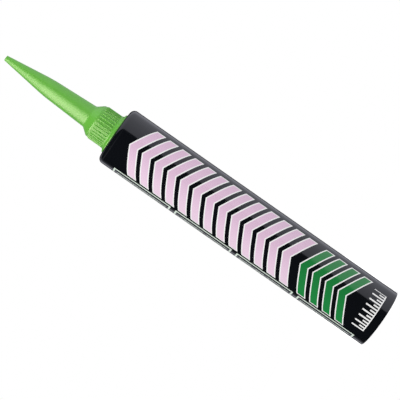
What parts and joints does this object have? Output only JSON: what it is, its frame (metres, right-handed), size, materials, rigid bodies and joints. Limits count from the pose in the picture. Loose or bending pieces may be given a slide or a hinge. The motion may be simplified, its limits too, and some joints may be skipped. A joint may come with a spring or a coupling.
{
  "type": "construction adhesive cartridge",
  "caption": "Black cylindrical adhesive cartridge for a skeleton gun, with a green ribbed screw-on nozzle, a sliding piston and its paste filling.",
  "frame": {"origin": "centre of the open rear rim, at its lowest plane", "axes": "+Z along the cartridge's axis from the rear rim to the nozzle's tip, -Y towards the printed front, +X to the right of that front"},
  "size_m": [0.05, 0.05, 0.3631],
  "materials": {
    "tube_black": "gloss with printed colour blocks",
    "nozzle_green": "satin moulded polyethylene",
    "piston_natural": "natural moulded polyethylene",
    "adhesive_paste": "smooth thick paste"
  },
  "bodies": {
    "cartridge": {"cartridge_tube": "tube_black", "adhesive_fill": "adhesive_paste"},
    "nozzle": {"nozzle": "nozzle_green"},
    "piston": {"piston": "piston_natural"}
  },
  "joints": [
    {"name": "nozzle_lift", "type": "slide", "parent": "cartridge", "child": "nozzle", "axis": [0, 0, 1], "range_m": [0, 0.05]},
    {"name": "piston_slide", "type": "slide", "parent": "cartridge", "child": "piston", "axis": [0, 0, 1], "range_m": [0, 0.2187], "deforming": ["adhesive_fill"]}
  ]
}
